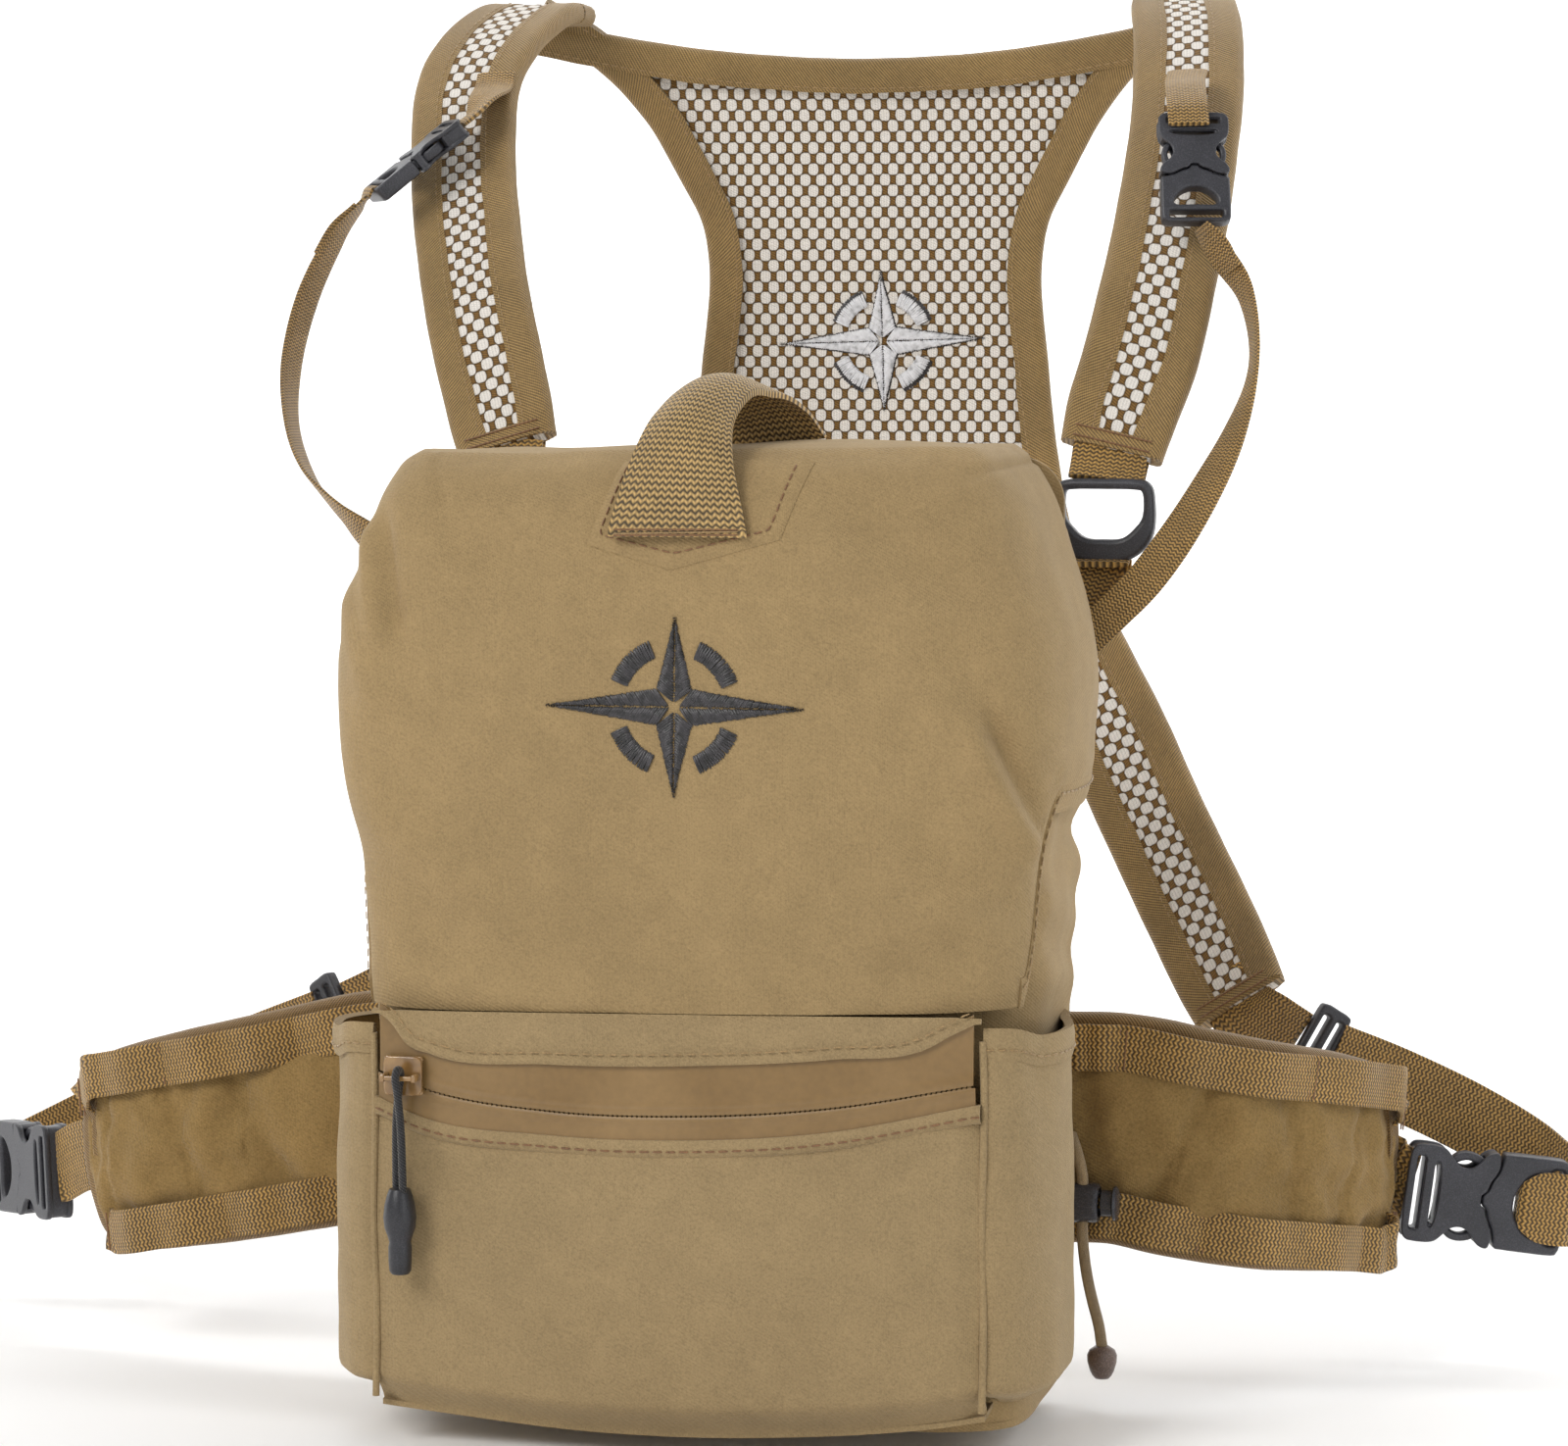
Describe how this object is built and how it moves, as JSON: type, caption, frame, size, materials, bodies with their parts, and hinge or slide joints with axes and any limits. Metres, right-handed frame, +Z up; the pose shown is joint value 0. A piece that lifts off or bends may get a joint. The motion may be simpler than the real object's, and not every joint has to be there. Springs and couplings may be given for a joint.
{
  "type": "chest harness pack",
  "caption": "Chest-worn soft pack with a forward-opening hood lid, zipped front pocket, padded wings, mesh yoke, shoulder straps and buckled tethers.",
  "frame": {"origin": "centre of the back panel's rear face, which rests on the wearer's chest", "axes": "+X to the right seen from the front, +Y towards the wearer, +Z up"},
  "size_m": [0.4674, 0.2729, 0.3738],
  "materials": {
    "softshell": "matte stretch-woven softshell",
    "wing_fabric": "matte woven, padded",
    "binding_tape": "ribbed edge tape",
    "webbing": "ribbed nylon webbing",
    "spacer_mesh": "hexagonal spacer mesh",
    "stiffener_sheet": "plain sheet",
    "liner_foam": "brushed lining over foam",
    "lining_cloth": "plain weave",
    "zip_tape": "satin laminated tape",
    "zip_coil": "nylon coil",
    "slider_metal": "gloss enamel",
    "cord_black": "braided cord",
    "sleeve_rubber": "moulded rubber",
    "elastic_tan": "braided elastic",
    "cord_end_plastic": "moulded end",
    "spring_steel": "bare",
    "acetal_black": "fine-grained moulded acetal"
  },
  "bodies": {
    "root": {"back_panel": "softshell", "back_stiffener": "stiffener_sheet", "pouch_shell": "softshell", "pouch_foam_liner": "liner_foam", "front_pocket_shell": "softshell", "pocket_storm_flap": "softshell", "zipper_tapes": "zip_tape", "zipper_coil": "zip_coil", "side_pocket_left": "softshell", "side_pocket_right": "softshell", "wing_left": "wing_fabric", "wing_right": "wing_fabric", "wing_binding_left": "binding_tape", "wing_binding_right": "binding_tape", "pals_webbing_left": "webbing", "pals_webbing_right": "webbing", "wing_tab_left": "webbing", "wing_tab_right": "webbing", "waist_strap_left": "webbing", "waist_strap_right": "webbing", "ladder_lock_left": "acetal_black", "ladder_lock_right": "acetal_black", "lower_strap_left": "spacer_mesh", "lower_strap_right": "spacer_mesh", "lower_webbing_left": "webbing", "lower_webbing_right": "webbing", "yoke_mesh": "spacer_mesh", "yoke_binding": "binding_tape", "shoulder_strap_left": "spacer_mesh", "shoulder_strap_right": "spacer_mesh", "strap_end_webbing_left": "webbing", "strap_end_webbing_right": "webbing", "shoulder_adjuster_left": "acetal_black", "shoulder_adjuster_right": "acetal_black", "anchor_webbing_left": "webbing", "anchor_webbing_right": "webbing", "tether_tab_left": "webbing", "tether_tab_right": "webbing", "tether_buckle_female_left": "acetal_black", "tether_buckle_female_right": "acetal_black", "tether_webbing_left": "webbing", "tether_webbing_right": "webbing", "cord_lock_body": "acetal_black", "cord_lock_spring": "spring_steel", "elastic_cord": "elastic_tan", "cord_end": "cord_end_plastic", "waist_buckle_female_left": "acetal_black", "waist_buckle_female_right": "acetal_black"},
    "lid": {"lid_shell": "softshell", "lid_lining": "lining_cloth", "pull_handle": "webbing", "handle_patch": "softshell"},
    "zip_slider": {"zipper_slider": "slider_metal"},
    "zip_pull": {"zip_pull_cord": "cord_black", "zip_pull_sleeve": "sleeve_rubber"},
    "waist_clip_left": {"waist_buckle_male_left": "acetal_black"},
    "waist_clip_right": {"waist_buckle_male_right": "acetal_black"},
    "tether_clip_left": {"tether_buckle_male_left": "acetal_black"},
    "tether_clip_right": {"tether_buckle_male_right": "acetal_black"},
    "cord_lock_button": {"cord_lock_button": "acetal_black"}
  },
  "joints": [
    {"name": "lid_hinge", "type": "hinge", "parent": "root", "child": "lid", "pos_m": [0, -0.094, -0.0205], "axis": [1, 0, 0], "range_deg": [0, 110]},
    {"name": "zip_slide", "type": "slide", "parent": "root", "child": "zip_slider", "axis": [1, 0, 0], "range_m": [0, 0.138]},
    {"name": "zip_pull_swing", "type": "hinge", "parent": "zip_slider", "child": "zip_pull", "pos_m": [-0.07, -0.1022, -0.037], "axis": [-1, 0, 0], "range_deg": [0, 80]},
    {"name": "waist_unclip_left", "type": "slide", "parent": "root", "child": "waist_clip_left", "axis": [-0.6706, 0.7344, -0.1045], "range_m": [0, 0.024], "deforming": ["waist_strap_left"]},
    {"name": "waist_unclip_right", "type": "slide", "parent": "root", "child": "waist_clip_right", "axis": [0.9563, 0.2616, -0.1305], "range_m": [0, 0.024], "deforming": ["waist_strap_right"]},
    {"name": "tether_unclip_left", "type": "slide", "parent": "root", "child": "tether_clip_left", "axis": [-0.6768, -0.3908, -0.6239], "range_m": [0, 0.017], "deforming": ["tether_webbing_left"]},
    {"name": "tether_unclip_right", "type": "slide", "parent": "root", "child": "tether_clip_right", "axis": [0.0906, -0.3635, -0.9272], "range_m": [0, 0.017], "deforming": ["tether_webbing_right"]},
    {"name": "cord_lock_press", "type": "slide", "parent": "root", "child": "cord_lock_button", "axis": [-1, 0, 0], "range_m": [0, 0.0034], "stiffness_N_per_m": 400, "deforming": ["cord_lock_spring"]}
  ]
}
